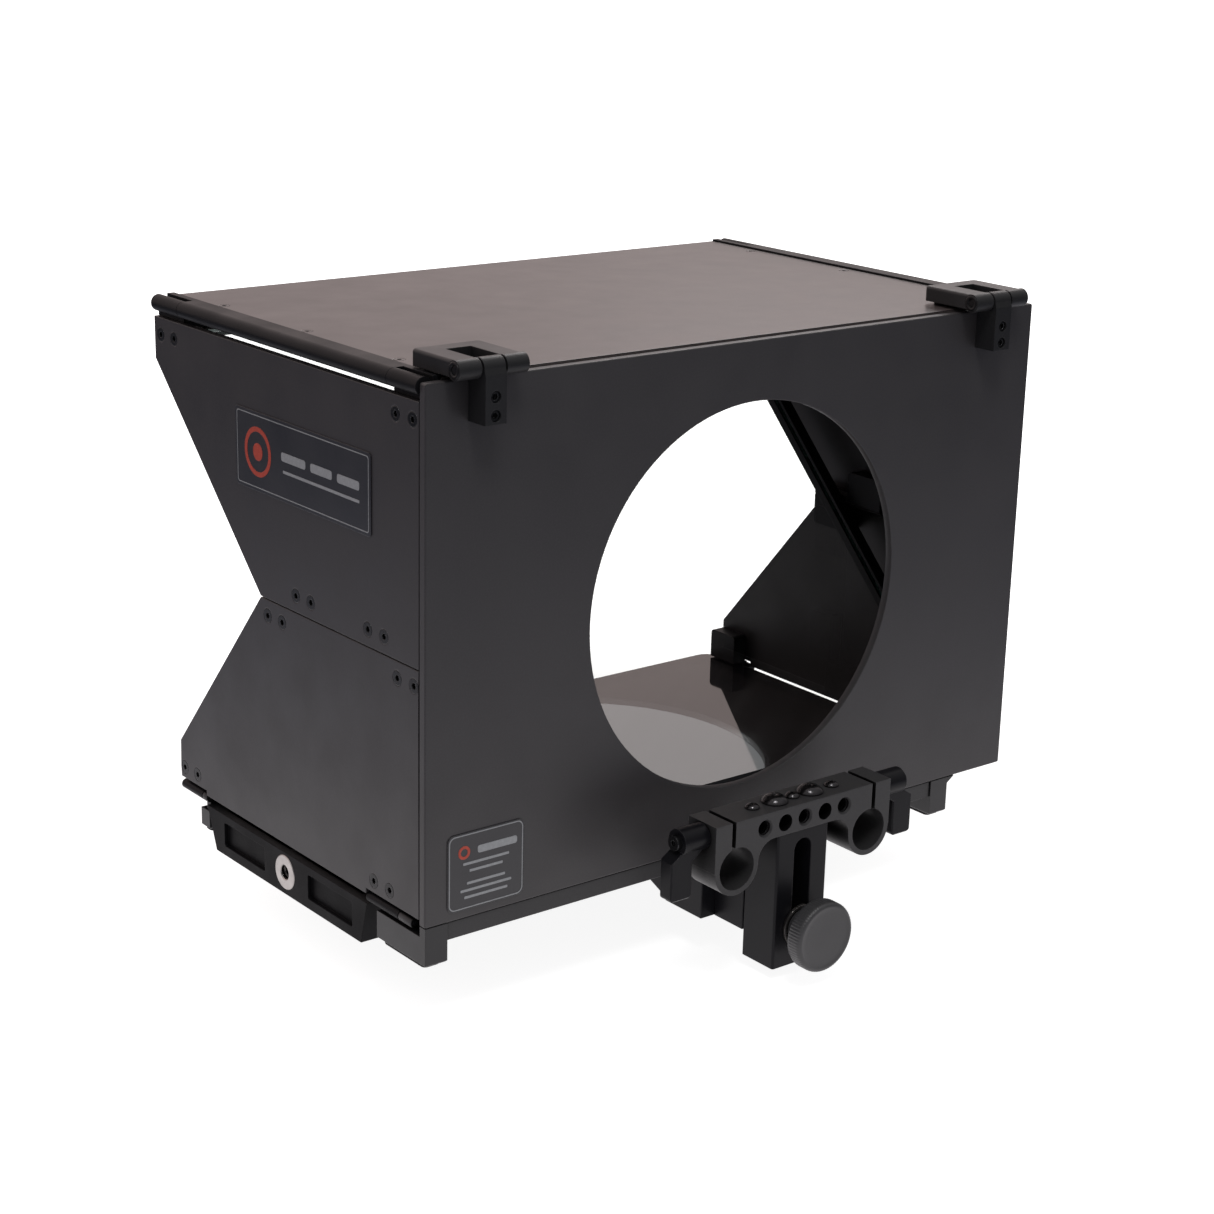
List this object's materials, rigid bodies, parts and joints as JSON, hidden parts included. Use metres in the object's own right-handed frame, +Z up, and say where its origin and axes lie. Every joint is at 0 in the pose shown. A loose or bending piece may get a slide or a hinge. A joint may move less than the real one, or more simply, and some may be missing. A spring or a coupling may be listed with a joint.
{
  "type": "teleprompter",
  "caption": "Folding box teleprompter with an angled beam-splitter glass over a flat monitor, a round lens opening, flip latches and a height-adjustable clamp for camera rods.",
  "frame": {"origin": "centre of the round lens opening, on the camera panel's outer face", "axes": "+Z up, +Y from the camera towards the person being filmed, +X to the right as the camera operator sees it"},
  "size_m": [0.2652, 0.2145, 0.2179],
  "materials": {
    "black_panel": "matte black",
    "top_sheet": "satin black",
    "black_plastic": "matte",
    "black_anodised": "anodised",
    "latch_plastic": "satin",
    "monitor_plastic": "textured",
    "screen_glass": "gloss",
    "lcd_stack": "gloss",
    "circuit_board": "satin",
    "beam_splitter": "polished",
    "knob_plastic": "satin",
    "bright_steel": "satin",
    "dark_screws": "black oxide",
    "label_film": "satin"
  },
  "bodies": {
    "rod_bracket": {"riser_block": "black_anodised", "rod_clamp_body": "black_anodised", "clamp_top_screws": "dark_screws"},
    "housing": {"camera_panel": "black_panel", "panel_label": "label_film", "base_front_beam": "black_anodised", "base_rear_beam": "black_anodised", "base_feet": "black_plastic", "base_screws": "dark_screws", "hinge_pins_bottom": "dark_screws", "glass_ears": "black_anodised", "monitor_bezel": "monitor_plastic", "monitor_cover_glass": "screen_glass", "monitor_lcd": "lcd_stack", "monitor_housing": "monitor_plastic", "monitor_insert": "bright_steel", "monitor_board": "circuit_board", "mount_block": "black_anodised", "mount_arm": "black_anodised", "latch_brackets": "latch_plastic", "latch_screws": "dark_screws"},
    "lower_wall_left": {"side_panel_lower_left": "black_panel", "hinge_blocks_lower_left": "black_plastic", "wall_screws_lower_left": "dark_screws", "hinge_pins_mid_left": "dark_screws"},
    "upper_wall_left": {"side_panel_upper_left": "black_panel", "hinge_blocks_upper_left": "black_plastic", "wall_screws_upper_left": "dark_screws", "side_label": "label_film"},
    "lower_wall_right": {"side_panel_lower_right": "black_panel", "hinge_blocks_lower_right": "black_plastic", "wall_screws_lower_right": "dark_screws", "hinge_pins_mid_right": "dark_screws"},
    "upper_wall_right": {"side_panel_upper_right": "black_panel", "hinge_blocks_upper_right": "black_plastic", "wall_screws_upper_right": "dark_screws"},
    "top": {"top_panel": "top_sheet", "top_rails": "black_plastic", "top_panel_screws": "dark_screws", "hinge_rods_top": "dark_screws"},
    "glass_frame": {"beam_splitter_glass": "beam_splitter", "glass_rails": "black_anodised", "glass_bottom_bar": "black_anodised", "glass_top_bar": "black_anodised", "glass_frame_screws": "dark_screws", "glass_pivot_pins": "dark_screws"},
    "latch_left": {"latch_yoke_left": "latch_plastic", "latch_pin_left": "dark_screws"},
    "latch_right": {"latch_yoke_right": "latch_plastic", "latch_pin_right": "dark_screws"},
    "lever_left": {"clamp_lever_left": "black_anodised", "lever_stud_left": "dark_screws", "lever_cap_screw_left": "bright_steel"},
    "lever_right": {"clamp_lever_right": "black_anodised", "lever_stud_right": "dark_screws", "lever_cap_screw_right": "bright_steel"},
    "knob": {"thumb_knob": "knob_plastic", "knob_washer": "bright_steel", "knob_stud": "bright_steel"}
  },
  "joints": [
    {"name": "height_slide", "type": "slide", "parent": "rod_bracket", "child": "housing", "axis": [0, 0, 1], "range_m": [-0.005, 0.024]},
    {"name": "knob_spin", "type": "hinge", "parent": "housing", "child": "knob", "pos_m": [0, -0.04, -0.1086], "axis": [0, -1, 0], "continuous": true},
    {"name": "wall_fold", "type": "hinge", "parent": "housing", "child": "lower_wall_left", "pos_m": [-0.1297, 0.08, -0.0892], "axis": [0, -1, 0], "range_deg": [0, 80]},
    {"name": "mid_hinge_left", "type": "hinge", "parent": "lower_wall_left", "child": "upper_wall_left", "pos_m": [-0.1249, 0.08, -0.00135], "axis": [0, 1, 0], "range_deg": [0, 160]},
    {"name": "top_hinge_left", "type": "hinge", "parent": "upper_wall_left", "child": "top", "pos_m": [-0.1297, 0.08, 0.0865], "axis": [0, -1, 0], "range_deg": [0, 80]},
    {"name": "bottom_hinge_right", "type": "hinge", "parent": "housing", "child": "lower_wall_right", "pos_m": [0.1297, 0.08, -0.0892], "axis": [0, 1, 0], "range_deg": [0, 80]},
    {"name": "mid_hinge_right", "type": "hinge", "parent": "lower_wall_right", "child": "upper_wall_right", "pos_m": [0.1249, 0.08, -0.00135], "axis": [0, -1, 0], "range_deg": [0, 160]},
    {"name": "glass_fold", "type": "hinge", "parent": "housing", "child": "glass_frame", "pos_m": [0, 0.0098, -0.0777], "axis": [-1, 0, 0], "range_deg": [0, 40]},
    {"name": "latch_left_flip", "type": "hinge", "parent": "housing", "child": "latch_left", "pos_m": [-0.1121, -0.0052, 0.0922], "axis": [1, 0, 0], "range_deg": [0, 110]},
    {"name": "latch_right_flip", "type": "hinge", "parent": "housing", "child": "latch_right", "pos_m": [0.1067, -0.0052, 0.0922], "axis": [1, 0, 0], "range_deg": [0, 110]},
    {"name": "lever_left_swing", "type": "hinge", "parent": "rod_bracket", "child": "lever_left", "pos_m": [-0.046, -0.0265, -0.0685], "axis": [1, 0, 0], "range_deg": [-90, 60]},
    {"name": "lever_right_swing", "type": "hinge", "parent": "rod_bracket", "child": "lever_right", "pos_m": [0.046, -0.0265, -0.0685], "axis": [1, 0, 0], "range_deg": [-90, 60]}
  ],
  "couplings": [
    {"joint": "mid_hinge_left", "follows": "wall_fold", "ratio": 2},
    {"joint": "top_hinge_left", "follows": "wall_fold", "ratio": 1},
    {"joint": "bottom_hinge_right", "follows": "wall_fold", "ratio": 1},
    {"joint": "mid_hinge_right", "follows": "wall_fold", "ratio": 2},
    {"joint": "glass_fold", "follows": "wall_fold", "ratio": 0.5}
  ]
}
